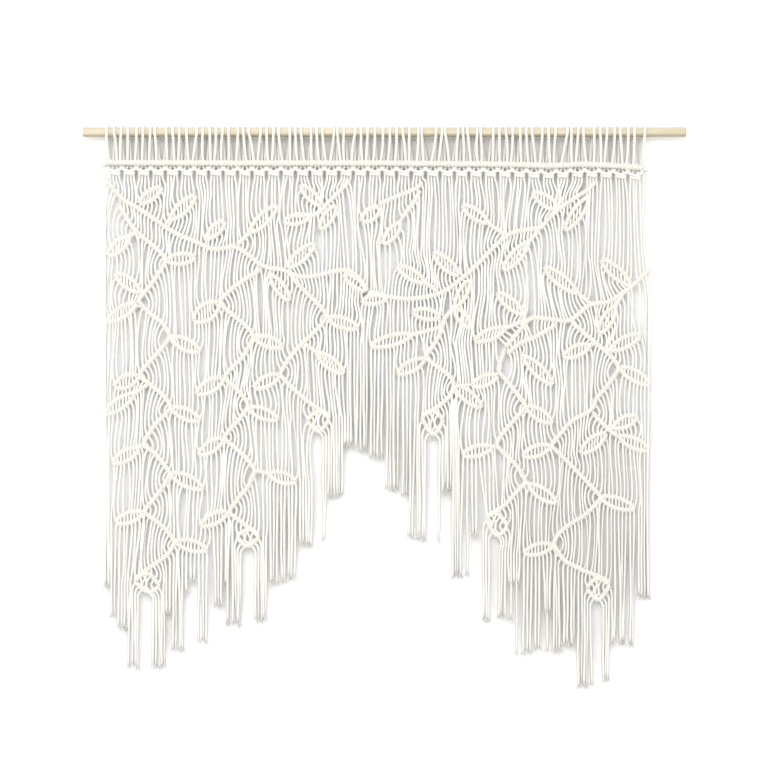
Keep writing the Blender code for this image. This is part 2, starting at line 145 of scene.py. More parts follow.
# Vines, each a bar of hitches: its bends from the top down, x and z
VINES = {
    "left_main": [
        (-500, -84), (-470, -121), (-440, -139), (-395, -170), (-370, -186), (-328, -204),
        (-306, -214), (-285, -214), (-262, -210), (-236, -226), (-208, -247), (-173, -253),
        (-148, -264), (-120, -265), (-85, -257), (-54, -254), (-32, -270), (-18, -292),
    ],
    "right_main": [
        (401, -90), (386, -106), (362, -121), (331, -143), (307, -167), (298, -176), (263, -181),
        (239, -189), (216, -209), (184, -242), (155, -268), (117, -295), (63, -306), (20, -302),
        (-18, -294),
    ],
    "far_left": [
        (-476, -130), (-459, -160), (-441, -184), (-417, -204), (-399, -220), (-388, -236),
        (-412, -275), (-439, -309), (-414, -336), (-395, -350), (-381, -376), (-403, -405),
        (-424, -428), (-438, -447), (-419, -462), (-392, -484), (-379, -506), (-408, -537),
        (-421, -556), (-431, -574), (-414, -585), (-395, -606), (-381, -626), (-394, -652),
        (-415, -679), (-429, -697), (-406, -714), (-386, -732), (-372, -751), (-386, -776),
        (-412, -795), (-430, -808), (-446, -821),
    ],
    "mid_left": [
        (-212, -250), (-261, -283), (-291, -312), (-272, -330), (-243, -354), (-227, -374),
        (-246, -411), (-265, -430), (-282, -451), (-261, -470), (-241, -492), (-238, -506),
        (-257, -531), (-271, -546), (-282, -562), (-261, -580), (-243, -596), (-225, -620),
        (-237, -650), (-253, -669), (-273, -697), (-253, -713), (-235, -727), (-217, -741),
    ],
    "centre_left": [
        (-161, -257), (-148, -277), (-104, -321), (-93, -339), (-109, -360), (-135, -385),
        (-157, -409), (-179, -444), (-160, -466), (-128, -494), (-110, -507), (-96, -515),
        (-87, -524),
    ],
    "top_centre": [(-50, -88), (-78, -117), (-93, -132), (-111, -150), (-153, -154)],
    "top_right_upper": [(82, -90), (72, -103), (28, -121), (2, -133)],
    "top_right_lower": [(78, -106), (67, -128), (43, -160)],
    "centre_right": [
        (144, -316), (122, -345), (118, -363), (108, -382), (97, -399), (87, -414), (111, -431),
        (135, -450), (140, -464), (133, -484), (116, -500), (98, -513), (80, -521),
    ],
    "right_upper": [
        (500, -250), (469, -281), (445, -299), (423, -312), (390, -317), (361, -341), (346, -347),
        (313, -343), (284, -341), (269, -354), (234, -396),
    ],
    "right_under": [(330, -352), (293, -374), (260, -389), (238, -408)],
    "far_right": [
        (355, -347), (377, -367), (410, -395), (430, -413), (443, -433), (423, -464), (401, -490),
        (392, -510), (357, -530), (340, -549), (326, -565), (319, -576), (348, -604), (372, -629),
        (410, -670), (383, -701), (357, -717), (331, -738), (324, -758), (343, -786), (361, -796),
        (381, -806), (400, -813), (415, -820), (427, -829),
    ],
    "right_twig": [(394, -514), (410, -532), (428, -549), (439, -558)],
    "mid_right": [
        (234, -396), (221, -437), (234, -453), (252, -475), (272, -503), (240, -541), (225, -559),
        (218, -575), (238, -595), (255, -612), (272, -642), (252, -664), (234, -684), (216, -696),
        (198, -705),
    ],
}

# Leaves: foot x, foot z, tip x, tip z, length of the stem as a share of the leaf, width
LEAVES = [
    (-438, -132, -395, -101, 0, 22), (-390, -170, -333, -116, 0.15, 24),
    (-318, -200, -280, -163, 0.1, 22), (-443, -182, -496, -228, 0.2, 24),
    (-388, -236, -333, -230, 0, 24), (-430, -298, -482, -259, 0.1, 24),
    (-258, -208, -183, -134, 0.3, 24), (-102, -136, -142, -97, 0, 20),
    (-118, -154, -173, -165, 0.1, 22), (-76, -134, -106, -180, 0, 22),
    (-166, -250, -115, -204, 0, 24), (-201, -256, -161, -310, 0.1, 22),
    (-62, -260, -21, -292, 0, 20), (19, -304, -30, -312, 0, 20),
    (5, -138, -30, -165, 0, 26), (43, -165, 10, -207, 0, 22),
    (112, -292, 34, -244, 0.3, 22), (150, -264, 102, -220, 0, 24),
    (236, -190, 155, -134, 0.4, 22), (170, -270, 142, -323, 0, 20),
    (334, -143, 284, -110, 0, 24), (388, -118, 344, -182, 0, 24),
    (298, -178, 230, -255, 0.3, 24), (388, -312, 306, -248, 0.25, 24),
    (465, -282, 410, -233, 0, 24), (274, -340, 219, -294, 0.1, 22),
    (-441, -314, -500, -350, 0, 24), (-381, -376, -324, -404, 0, 26),
    (-438, -448, -484, -468, 0, 28), (-420, -462, -502, -519, 0.3, 24),
    (-379, -506, -324, -530, 0, 24), (-290, -313, -338, -348, 0, 38),
    (-282, -452, -333, -481, 0, 28), (-227, -376, -172, -395, 0, 24),
    (-238, -506, -181, -528, 0, 24), (-93, -341, -34, -360, 0, 24),
    (-135, -387, -61, -444, 0.3, 24), (-179, -446, -228, -470, 0, 24),
    (117, -339, 63, -330, 0, 24), (117, -358, -14, -393, 0.4, 24),
    (88, -416, 36, -444, 0, 24), (140, -464, 192, -506, 0, 24),
    (140, -322, 173, -361, 0, 22), (274, -344, 177, -384, 0.4, 24),
    (221, -447, 172, -466, 0, 24), (262, -405, 322, -464, 0.1, 24),
    (400, -387, 340, -413, 0.15, 24), (450, -297, 406, -371, 0.3, 24),
    (420, -404, 484, -371, 0.1, 24), (443, -431, 502, -464, 0, 24),
    (427, -545, 478, -521, 0.1, 24), (272, -503, 322, -534, 0, 24),
    (-431, -576, -487, -609, 0.1, 24), (-381, -626, -318, -655, 0, 26),
    (-429, -698, -482, -717, 0, 24), (-372, -751, -311, -767, 0, 24),
    (-282, -562, -329, -593, 0, 24), (-274, -697, -326, -723, 0, 24),
    (-225, -620, -148, -642, 0.3, 24), (218, -576, 155, -593, 0.1, 24),
    (319, -576, 265, -595, 0, 24), (408, -670, 473, -692, 0, 24),
    (324, -758, 267, -773, 0, 24), (420, -552, 372, -590, 0, 26),
    (436, -556, 500, -584, 0.1, 24), (270, -642, 329, -681, 0.1, 24),
]

# Buds, the diamonds that end some vines: x and z of their left, top, right and lowest corners
BUDS = [
    (-131, -529, -108, -512, -87, -526, -108, -549),
    (80, -523, 101, -511, 122, -528, 102, -555),
    (-447, -824, -422, -809, -399, -833, -420, -844),
    (-259, -741, -233, -728, -216, -743, -240, -760),
    (197, -707, 219, -699, 240, -724, 218, -740),
    (383, -837, 403, -818, 427, -831, 405, -858),
]

# Lower edge of the fringe: x, z
FRINGE = [
    (-504, -829), (-494, -832), (-486, -885), (-472, -900), (-457, -908), (-454, -980),
    (-434, -985), (-412, -980), (-392, -976), (-389, -880), (-380, -870), (-377, -940),
    (-359, -946), (-355, -840), (-336, -825), (-331, -935), (-302, -934), (-300, -872),
    (-285, -870), (-281, -822), (-275, -822), (-273, -900), (-241, -900), (-223, -894),
    (-203, -892), (-199, -824), (-172, -822), (-148, -810), (-142, -752), (-127, -748),
    (-102, -748), (-91, -744), (-89, -664), (-74, -660), (-50, -575), (-32, -578),
    (-1, -598), (8, -600), (25, -653), (52, -662), (65, -740), (91, -747), (118, -747),
    (121, -650), (136, -648), (139, -811), (170, -815), (173, -735), (185, -738), (188, -893),
    (206, -897), (225, -888), (247, -892), (250, -948), (331, -948), (338, -936), (359, -938),
    (365, -1009), (392, -1009), (399, -1005), (428, -1005), (431, -936), (469, -936),
    (474, -846), (489, -844), (500, -853),
]

# Bunches that end above the fringe's edge, in front of longer ones: left and right x, z
SHORT_BUNCHES = [(236, 273, -826), (298, 324, -874)]


# ---- curves in the panel's plane

def path_length(curve):
    """Distance along a curve to each of its points."""
    return np.concatenate([[0.0], np.cumsum(np.linalg.norm(np.diff(curve, axis=0), axis=1))])


def evenly(curve, step):
    """The same curve with its points about one step apart."""
    run = path_length(curve)
    places = np.linspace(0.0, run[-1], max(3, int(round(run[-1] / step)) + 1))
    return np.column_stack([np.interp(places, run, axis) for axis in curve.T])


def smooth_curve(points, step, corner=1.0):
    """A Catmull-Rom curve through the points, with a point about every step.

    corner is how much of its bend is left where it turns back across the panel.
    """
    rows = [np.array(point, float) for point in points]
    rows = [2 * rows[0] - rows[1]] + rows + [2 * rows[-1] - rows[-2]]
    ways = [0.5 * (after - before) for before, after in zip(rows, rows[2:])]
    for k, way in enumerate(ways):
        if (rows[k + 1] - rows[k])[0] * (rows[k + 2] - rows[k + 1])[0] < 0:
            ways[k] = corner * way
    curve = []
    for start, end, leave, arrive in zip(rows[1:], rows[2:-1], ways, ways[1:]):
        for t in np.linspace(0.0, 1.0, CURVE_POINTS, endpoint=False):
            curve.append((2 * t ** 3 - 3 * t ** 2 + 1) * start + (t ** 3 - 2 * t ** 2 + t) * leave
                         + (3 * t ** 2 - 2 * t ** 3) * end + (t ** 3 - t ** 2) * arrive)
    curve.append(rows[-2])
    return evenly(np.array(curve), step)


def one_way_stretches(curve):
    """Splits a curve where it turns back across the panel."""
    way = np.sign(np.diff(curve[:, 0]))
    cuts = [0] + [i for i in range(1, len(way)) if way[i] != way[i - 1]] + [len(curve) - 1]
    return [curve[a:b + 1] for a, b in zip(cuts, cuts[1:]) if b - a >= 3]


def on_table(table, x):
    """Height at x, read between the rows of a table of x and z."""
    return np.interp(x, [row[0] for row in table], [row[1] for row in table])


def sides_between(left, right, bulge):
    """Upper and lower side of a leaf or bud between its two points, for a bulge at each place."""
    t = np.linspace(0.0, 1.0, len(bulge))
    along = right - left
    up = np.array((-along[1], along[0])) / np.linalg.norm(along)
    if up[1] < 0:
        up = -up
    middle = left + np.outer(t, along)
    return middle + np.outer(bulge, up), middle - np.outer(bulge, up)


def leaf_sides(foot_x, foot_z, tip_x, tip_z, stem, width):
    """Upper and lower side of a leaf, the upper one with the stem on it."""
    foot, tip = np.array((foot_x, foot_z), float), np.array((tip_x, tip_z), float)
    base = foot + (tip - foot) * stem
    t = np.linspace(0.0, 1.0, LEAF_POINTS)
    bulge = 0.5 * width * LEAF_BULGE * np.sin(math.pi * t) ** LEAF_POWER
    upper, lower = sides_between(base, tip, bulge)
    if stem > 0:
        t = np.linspace(0.0, STEM_END, STEM_POINTS)
        upper = np.vstack([foot + (base - foot) * t[:, None], upper])
    return evenly(upper, ROUTE_STEP), evenly(lower, ROUTE_STEP)


def bud_sides(row):
    """Upper and lower side of a bud, a square on its corner."""
    left, top, right, foot = np.reshape(row, (4, 2))
    return [smooth_curve([left, middle, right], ROUTE_STEP) for middle in (top, foot)]


# ---- the strands' hitches on the bars

class Hitching:
    """A stretch of bar that crosses neighbouring strands once each, read from left to right.

    lower_side is the lower side of the same leaf or bud, hitched by the same strands but for
    those on the stem.
    """

    def __init__(self, curve, lower_side=None, stem=0.0, stem_at_left=True, parts_strands=False):
        self.curve = curve if curve[0, 0] < curve[-1, 0] else curve[::-1]
        self.run = path_length(self.curve)
        self.length = self.run[-1]
        steps = np.diff(self.curve, axis=0)
        lengths = np.linalg.norm(steps, axis=1)
        level = np.clip(np.abs(steps[:, 0]) / lengths, LEAST_LEVEL, 1.0)
        self.hitches = np.insert(np.cumsum(lengths * level ** LEVEL_POWER), 0, 0.0) / HITCH_PITCH
        self.lower_side = lower_side
        self.stem = stem
        self.stem_at_left = stem_at_left
        self.parts_strands = parts_strands

    def slots(self, count):
        """Places for a number of hitches, spread evenly but a little closer where it is steep."""
        share = (np.arange(count) + 0.5) / count
        return np.interp(share * self.hitches[-1], self.hitches, self.run)

    def at(self, place):
        return (np.interp(place, self.run, self.curve[:, 0]),
                np.interp(place, self.run, self.curve[:, 1]))

    def lean(self, place):
        """Sideways run for each unit of drop of a strand that leaves the bar."""
        x0, z0 = self.at(max(0.0, place - ROUTE_STEP))
        x1, z1 = self.at(min(self.length, place + ROUTE_STEP))
        slope = (z1 - z0) / max(x1 - x0, 0.01)
        return LEAN_SHARE * float(np.clip(slope, -LEAN_LIMIT, LEAN_LIMIT))

    def height_over(self, other):
        """Mean height above another stretch where both span the same strands, or None."""
        low = max(self.curve[0, 0], other.curve[0, 0])
        high = min(self.curve[-1, 0], other.curve[-1, 0])
        if high - low < LEAST_OVERLAP:
            return None
        places = np.linspace(low, high, OVERLAP_PLACES)
        return float(np.mean(np.interp(places, self.curve[:, 0], self.curve[:, 1])
                             - np.interp(places, other.curve[:, 0], other.curve[:, 1])))


def knotting_order(stretches):
    """Indices of the stretches in the order of knotting, each after those that lie above it."""
    above = [set() for _ in stretches]
    for i, one in enumerate(stretches):
        for j in range(i + 1, len(stretches)):
            height = one.height_over(stretches[j])
            if height is not None and height > 0:
                above[j].add(i)
            elif height is not None:
                above[i].add(j)
    order = []
    while len(order) < len(stretches):
        left = [k for k in range(len(stretches)) if k not in order]
        ready = [k for k in left if above[k] <= set(order)] or left
        order.append(max(ready, key=lambda k: stretches[k].curve[:, 1].mean()))
    return order


class Strand:
    """A strand's route down the panel: places where it is held, as x, z and lean."""

    def __init__(self, x, z):
        self.held = [(x, z, 0.0)]

    def x_at(self, z):
        """Where the strand hangs at height z, below the last place that holds it."""
        x, z_held, lean = self.held[-1]
        drop = np.maximum(0.0, z_held - z)
        return np.clip(x + lean * LEAN_REACH * (1.0 - np.exp(-drop / LEAN_REACH)), -EDGE, EDGE)

    def hold(self, x, z, lean):
        if z < self.held[-1][1] - LEAST_DROP:
            self.held.append((x, z, lean))


def place_along(stretch, strand):
    """Where a strand, left to hang, would meet a stretch; beyond its ends where it passes by."""
    apart = strand.x_at(stretch.curve[:, 1]) - stretch.curve[:, 0]
    if apart[0] < 0:
        return apart[0]
    if apart[-1] > 0:
        return stretch.length + apart[-1]
    k = max(1, int(np.argmax(apart <= 0)))
    share = apart[k - 1] / max(apart[k - 1] - apart[k], 1e-6)
    return stretch.run[k - 1] + share * (stretch.run[k] - stretch.run[k - 1])


def tie(stretch, strands):
    """Hitches a run of neighbouring strands along a stretch, evenly, and parts the others."""
    places = np.array([place_along(stretch, strand) for strand in strands])
    crossing = int(np.sum((places > 0) & (places < stretch.length)))
    wanted = int(round(stretch.hitches[-1]))
    most = wanted + EXTRA_HITCHES if stretch.lower_side is not None else crossing
    count = max(2, wanted, min(crossing, most))
    slots = stretch.slots(count)
    slot_z = np.array([stretch.at(slot)[1] for slot in slots])
    last_z = np.array([strand.held[-1][1] for strand in strands])
    costs = []
    for first in range(len(strands) - count + 1):
        chosen = slice(first, first + count)
        too_low = np.sum(last_z[chosen] < slot_z + LEAST_DROP)
        costs.append(float(np.sum((places[chosen] - slots) ** 2)) + TOO_LOW * too_low)
    first = int(np.argmin(costs))
    for strand, slot in zip(strands[first:first + count], slots):
        strand.hold(*stretch.at(slot), stretch.lean(slot))
    is_leaf = stretch.lower_side is not None and not stretch.parts_strands
    if not (is_leaf and stretch.stem_at_left):
        part(strands[:first][::-1], stretch.at(0.0), -1)
    if not is_leaf or stretch.stem_at_left:
        part(strands[first + count:], stretch.at(stretch.length), 1)
    if stretch.lower_side is not None:
        on_stem = int(round(STEM_HITCHES * count * stretch.stem))
        start = first + on_stem if stretch.stem_at_left else first
        tie_lower_side(stretch, strands[start:start + count - on_stem])


def tie_lower_side(leaf, strands):
    """Hitches the strands of a leaf's upper side along its lower side too."""
    lower = leaf.lower_side
    for k, (strand, slot) in enumerate(zip(strands, lower.slots(len(strands)))):
        x, z = lower.at(slot)
        lean = lower.lean(slot)
        if leaf.parts_strands:
            side = -1 if 2 * k + 1 < len(strands) else 1
            corner = lower.curve[0 if side < 0 else -1, 0]
            from_corner = k if side < 0 else len(strands) - 1 - k
            inward = (from_corner - BUNCH_INSET) * BUNCH_PITCH
            lean = (corner - side * inward - x) / LEAN_REACH
        strand.hold(x, z, lean)


def part(strands, end, side):
    """Keeps the strands that pass by the end of a stretch clear of it and of each other."""
    x, z = end[0] + side * TIP_GAP, end[1]
    for strand in strands:
        x += side * (CORD + PASSING_GAP)
        clear = (strand.x_at(z) - x) * side >= 0
        if clear or abs(x) > EDGE or strand.held[-1][1] < z + LEAST_DROP:
            return
        strand.hold(x, z, 0.0)


def strand_start(k):
    """Where strand k hangs from the hitch bar."""
    return FIRST_STRAND + k * STRAND_PITCH


def knot_centre(k):
    """Middle of square knot k, as x and z; the first strand is in no knot."""
    x = strand_start(4 * k + 2.5)
    return x, on_table(BAR_LINE, x) - KNOT_DROP


def knot_panel():
    """Every strand of the panel, and every bar as (curve, radius)."""
    strands = []
    for k in range(STRAND_COUNT):
        x = strand_start(k)
        strand = Strand(x, on_table(BAR_LINE, x) - STRAND_ROOT)
        strands.append(strand)
        if k in (0, STRAND_COUNT - 1):
            continue
        knot_x, knot_z = knot_centre((k - 1) // 4)
        gathered = knot_x + KNOT_GATHER * (x - knot_x)
        side = math.copysign(1.0, x - knot_x)
        if abs(x - knot_x) < STRAND_PITCH:
            strand.hold(knot_x + side * 0.5 * CORD, knot_z + KNOT_DROP - BAR_RADIUS, 0.0)
            strand.hold(knot_x + side * KNOT_EYE, knot_z + EYE_RISE, 0.0)
        else:
            strand.hold(knot_x + side * (KNOT_EYE + CORD), knot_z + EYE_RISE, 0.0)
        strand.hold(gathered, knot_z, 0.0)
        strand.hold(gathered, knot_z - 0.5 * KNOT_HEIGHT, (x - gathered) / LEAN_REACH)
    bars, stretches = [], []
    for bends in VINES.values():
        curve = smooth_curve(bends, ROUTE_STEP, VINE_CORNER)
        bars.append((curve, VINE_RADIUS))
        stretches += [Hitching(stretch) for stretch in one_way_stretches(curve)]
    for row in LEAVES:
        upper, lower = leaf_sides(*row)
        bars += [(upper, LEAF_BAR_RADIUS), (lower, LEAF_BAR_RADIUS)]
        stretches.append(Hitching(upper, Hitching(lower), row[4], row[0] < row[2]))
    for row in BUDS:
        upper, lower = bud_sides(row)
        bars += [(upper, LEAF_BAR_RADIUS), (lower, LEAF_BAR_RADIUS)]
        stretches.append(Hitching(upper, Hitching(lower), parts_strands=True))
    for k in knotting_order(stretches):
        tie(stretches[k], strands)
    return strands, bars


# ---- tubes

def unit(rows):
    """The same vectors, each one unit long."""
    return rows / np.linalg.norm(rows, axis=1)[:, None]


class Tubes:
    """Collects tubes for one mesh. Its UVs run round each (u, 0 to 1) and along it (v, in mm)."""

    def __init__(self):
        self.points, self.quads, self.uvs = [], [], []
        self.count = 0

    def add(self, path, radius, out, sides):
        """Adds a tube along a path. out points away from its axis; radius may vary along it."""
        path = np.asarray(path, float)
        n = len(path)
        along = unit(np.gradient(path, axis=0))
        out = np.broadcast_to(np.asarray(out, float), path.shape)
        first = unit(out - np.sum(out * along, axis=1)[:, None] * along)
        second = np.cross(along, first)
        radius = np.broadcast_to(np.asarray(radius, float), (n,))
        turn = 2.0 * math.pi * np.arange(sides) / sides
        spokes = (np.cos(turn)[:, None] * first[:, None, :]
                  + np.sin(turn)[:, None] * second[:, None, :])
        rings = path[:, None, :] + radius[:, None, None] * spokes
        i, k = np.meshgrid(np.arange(n - 1), np.arange(sides), indexing="ij")
        j, m = i + 1, (k + 1) % sides
        quads = np.stack([i * sides + k, i * sides + m, j * sides + m, j * sides + k], axis=-1)
        run = path_length(path)
        u0, u1 = k / sides, (k + 1) / sides
        v0, v1 = run[i], run[j]
        self.points.append(rings.reshape(-1, 3))
        self.quads.append(quads.reshape(-1, 4) + self.count)
        self.uvs.append(np.stack([u0, v0, u1, v0, u1, v1, u0, v1], axis=-1).ravel())
        self.count += n * sides

    def make(self, name, material):
        """The collected tubes as one object, placed where the panel hangs."""
        points = np.vstack(self.points) * MM
        points[:, 0] += PANEL_MIDDLE * MM
        obj = mesh_object(name, points, np.vstack(self.quads), material)
        layer = obj.data.uv_layers.new(name="cord")
        layer.data.foreach_set("uv", np.concatenate(self.uvs))
        return obj


def add_object(name, data):
    """An object in the scene that shows a mesh, a lamp or a camera."""
    obj = bpy.data.objects.new(name, data)
    bpy.context.scene.collection.objects.link(obj)
    return obj


def mesh_object(name, points, faces, material):
    """A smooth object in the scene with these faces."""
    mesh = bpy.data.meshes.new(name)
    mesh.from_pydata(points, [], faces)
    mesh.shade_smooth()
    mesh.materials.append(material)
    return add_object(name, mesh)


def rounded_ends(count, radius, end_share=0.25):
    """A radius for each ring of a tube, drawn in to a share of it at the two ends."""
    radii = np.full(count, radius)
    radii[0] = radii[-1] = end_share * radius
    return radii


def in_space(curve):
    """A curve of the panel's plane as points in space."""
    return np.column_stack([curve[:, 0], np.zeros(len(curve)), curve[:, 1]])


# ---- bars of hitches

COIL_STEPS = 10  # points in each turn of cord round a bar
COIL_SIDES = 5
CORE_SIDES = 5
BAR_POINTS = 500  # along the hitch bar
CORE_STEP = 6.0  # between the rings of the core
END_SWING = 0.55  # share of the coil's swing that is left at a bar's ends
END_CORD = 0.45  # share of its thickness that is left there


def add_coil(tubes, curve, bar_radius, pitch):
    """Cord wound round a bar's core, turn against turn, as double half hitches show."""
    run = path_length(curve)
    turns = max(2, int(round(run[-1] / pitch)))
    angle = np.linspace(0.0, 2.0 * math.pi * turns, turns * COIL_STEPS + 1)
    angle += RANDOM.uniform(0.0, 2.0 * math.pi)
    place = np.linspace(0.0, run[-1], len(angle))
    centre = np.column_stack([np.interp(place, run, axis) for axis in curve.T])
    along = unit(np.gradient(centre, axis=0))
    across = np.column_stack([-along[:, 1], along[:, 0]])
    wrap = 0.5 * TIGHT_CORD
    ease = np.clip(np.minimum(place, run[-1] - place) / pitch, 0.0, 1.0)
    swing = (bar_radius - wrap) * (END_SWING + (1.0 - END_SWING) * ease)
    out = np.column_stack([across[:, 0] * np.cos(angle), np.sin(angle),
                           across[:, 1] * np.cos(angle)])
    path = in_space(centre) + swing[:, None] * out
    tubes.add(path, wrap * (END_CORD + (1.0 - END_CORD) * ease), out, COIL_SIDES)
    core = evenly(curve, CORE_STEP)
    radii = rounded_ends(len(core), bar_radius - wrap)
    tubes.add(in_space(core), radii, (0.0, 1.0, 0.0), CORE_SIDES)


# ---- strands

STRAND_SIDES = 6
STRAND_STEP = 5.0  # between the rings of a strand, where it bends
LONG_SPAN, LONG_STEP = 80.0, 8.0  # drop of a long span, and the step between its rings
PLUMB_STEP = 12.0  # and where it hangs straight
CORD_SPREAD = 0.04  # how much strands differ in thickness, as a share
DRIFT_SHARE, DRIFT_MOST = 0.014, 1.5  # drift of a span: a share of its drop, and the most
SETTLE_DROP = 21.0  # below the last bar, where a strand's tail starts
LEAST_TAIL = 5.0
END_SPREAD = 4.0  # how unevenly strands end, up and down
TAIL_DRIFT_SHARE, TAIL_DRIFT_MOST = 0.01, 2.0  # the same, of a tail's end
TAIL_WAVE = 0.6  # size of a tail's slow wave, as a share of its drift
TAIL_THICK_AT = 1.0 / 3.0  # share of a tail by which it has its full thickness
TIP_LENGTH, TIP_RADIUS = 1.0, 0.1  # of the last ring, which closes its cut end

TUFT_PLIES = 7  # frayed plies at the cut end of a strand
TUFT_LENGTHS = (5.5, 12.1)  # of the shortest ply and the longest
TUFT_SPLAYS = (0.2, 0.7)  # least and most run outwards, as a share of a ply's length
TUFT_ROOT = 0.55  # of a ply from the strand's middle, as a share of its radius
TUFT_RISE = 1.0  # of its root above the strand's end
TUFT_BEND = 0.45  # share of a ply's length down to its bend
TUFT_BEND_SPLAY = 0.3  # share of its splay there
TUFT_RADII = (0.9, 0.8, 0.35)  # of a ply, at its root, bend and tip
TUFT_SIDES = 4


def bend_between(start, end, step):
    """A strand's run between two places that hold it, as a cubic curve."""
    (x0, z0, lean0), (x1, z1, lean1) = start, end
    reach = min(BEND_SHARE * max(1.0, z0 - z1), BEND_REACH)
    p0, p3 = np.array((x0, z0)), np.array((x1, z1))
    p1 = p0 + np.array((lean0, -1.0)) * reach
    p2 = p3 - np.array((lean1, -1.0)) * reach
    t = np.linspace(0.0, 1.0, max(3, int(round((z0 - z1) / step)) + 1))[:, None]
    return (1 - t) ** 3 * p0 + 3 * t * (1 - t) ** 2 * p1 + 3 * t ** 2 * (1 - t) * p2 + t ** 3 * p3


def wander(count, size):
    """A slow drift that starts and ends at nothing, for the points of a span."""
    t = np.linspace(0.0, 1.0, count)
    once, twice = RANDOM.normal(0.0, size, 2)
    return once * np.sin(math.pi * t) + 0.5 * twice * np.sin(2.0 * math.pi * t)


class Tail:
    """The end of a strand below the last bar: where it hangs, and where its bunch draws it to."""

    def __init__(self, strand):
        self.x_hang = float(strand.x_at(strand.held[-1][1] - PLUMB_DROP))
        self.z_end = min(FRINGE, key=lambda row: abs(row[0] - self.x_hang))[1]
        self.x_end = self.x_hang
        self.y_end = 0.0


def gather(bunch, z_end, y_end=0.0):
    """Draws the tails of one bunch together, to end at one height."""
    middle = float(np.mean([tail.x_hang for tail in bunch]))
    for k, tail in enumerate(bunch):
        tail.x_end = middle + (k - 0.5 * (len(bunch) - 1)) * TAIL_PITCH
        tail.y_end = y_end + (TAIL_STAGGER if k % 2 else -TAIL_STAGGER)
        tail.z_end = z_end


def hang_tails(strands):
    """Gathers the tails in bunches of neighbours that end at one height."""
    tails = [Tail(strand) for strand in strands]
    rest = list(tails)
    for left, right, z_end in SHORT_BUNCHES:
        bunch = [tail for tail in tails[::2] if left < tail.x_hang < right]
        gather(bunch, z_end, -SHORT_FRONT * CORD)
        rest = [tail for tail in rest if tail not in bunch]
    first = 0
    while first < len(rest):
        most = int(RANDOM.integers(BUNCH_LEAST, BUNCH_MOST + 1))
        last = first + 1
        while (last < min(first + most, len(rest))
               and abs(rest[last].z_end - rest[first].z_end) < BUNCH_STEP
               and rest[last].x_hang - rest[last - 1].x_hang < BUNCH_GAP):
            last += 1
        bunch = rest[first:last]
        z_end = float(np.mean([tail.z_end for tail in bunch])) + RANDOM.uniform(*BUNCH_RISE)
        gather(bunch, z_end)
        first = last
    return tails


def strand_route(strand, tail):
    """Points in space down the middle of a strand: from the bar to its tail, and down its tail."""
    spans = []
    for start, end in zip(strand.held, strand.held[1:]):
        drop = start[1] - end[1]
        step = STRAND_STEP if drop < LONG_SPAN else LONG_STEP
        span = in_space(bend_between(start, end, step))
        for axis in (1, 0):
            span[:, axis] += wander(len(span), min(DRIFT_MOST, DRIFT_SHARE * drop))
        spans.append(span[:-1])
    x, z, lean = strand.held[-1]
    z_end = min(tail.z_end, z - LEAST_FRINGE) + RANDOM.uniform(-END_SPREAD, END_SPREAD)
    settle = (tail.x_hang, max(z - SETTLE_DROP, z_end + LEAST_TAIL), 0.0)
    spans.append(in_space(bend_between((x, z, lean), settle, STRAND_STEP)))
    drop = settle[1] - z_end
    down = np.linspace(0.0, 1.0, max(3, int(round(drop / PLUMB_STEP)) + 1))
    draw = 1.0 - np.exp(-down * drop / BUNCH_REACH)
    end = np.column_stack([tail.x_hang + (tail.x_end - tail.x_hang) * draw, tail.y_end * draw,
                           settle[1] - down * drop])
    drift = down * min(TAIL_DRIFT_MOST, TAIL_DRIFT_SHARE * drop)
    wave = down * RANDOM.uniform(1.0, 3.0) * math.pi
    for axis in (0, 1):
        end[:, axis] += drift * RANDOM.normal(0.0, 1.0)
        end[:, axis] += TAIL_WAVE * drift * np.sin(wave + RANDOM.uniform(0.0, 6.0))
    route = np.vstack(spans)
    for points in (route, end):
        points[:, 0] = np.clip(points[:, 0], -EDGE - EDGE_SLACK, EDGE + EDGE_SLACK)
    return route, end


def add_strand(tubes, tail_tubes, strand, tail):
    """One strand down to its tail, slacker just under the bar, and its tail with a frayed end."""
    route, end = strand_route(strand, tail)
    radius = 0.5 * CORD * RANDOM.normal(1.0, CORD_SPREAD)
    below_bar = route[0, 2] - route[:, 2]
    slack = 0.5 * (SLACK_CORD - CORD) * np.clip(1.0 - below_bar / KNOT_DROP, 0.0, 1.0)
    tubes.add(route, radius + slack, FRONT, STRAND_SIDES)
    thickened = np.clip(np.linspace(0.0, 1.0, len(end)) / TAIL_THICK_AT, 0.0, 1.0)
    radii = radius + 0.5 * (TAIL_CORD - CORD) * thickened
    tip = end[-1] - (0.0, 0.0, TIP_LENGTH)
    tail_tubes.add(np.vstack([end, tip]), np.append(radii, TIP_RADIUS), FRONT, STRAND_SIDES)
    add_tuft(tail_tubes, end[-1], radii[-1])


def add_tuft(tubes, end, radius):
    """The frayed plies at the cut end of a strand."""
    for k in range(TUFT_PLIES):
        angle = 2.0 * math.pi * (k + RANDOM.uniform(0.0, 0.6)) / TUFT_PLIES
        out = np.array((math.cos(angle), math.sin(angle), 0.0))
        length = RANDOM.uniform(*TUFT_LENGTHS)
        splay = RANDOM.uniform(*TUFT_SPLAYS) * length
        root = end + TUFT_ROOT * radius * out + (0.0, 0.0, TUFT_RISE)
        bend = root - (0.0, 0.0, TUFT_BEND * length) + TUFT_BEND_SPLAY * splay * out
        tip = root - (0.0, 0.0, length) + splay * out
        tubes.add(np.array([root, bend, tip]), TUFT_RADII, (0.0, -1.0, 0.1), TUFT_SIDES)


# ---- square knots

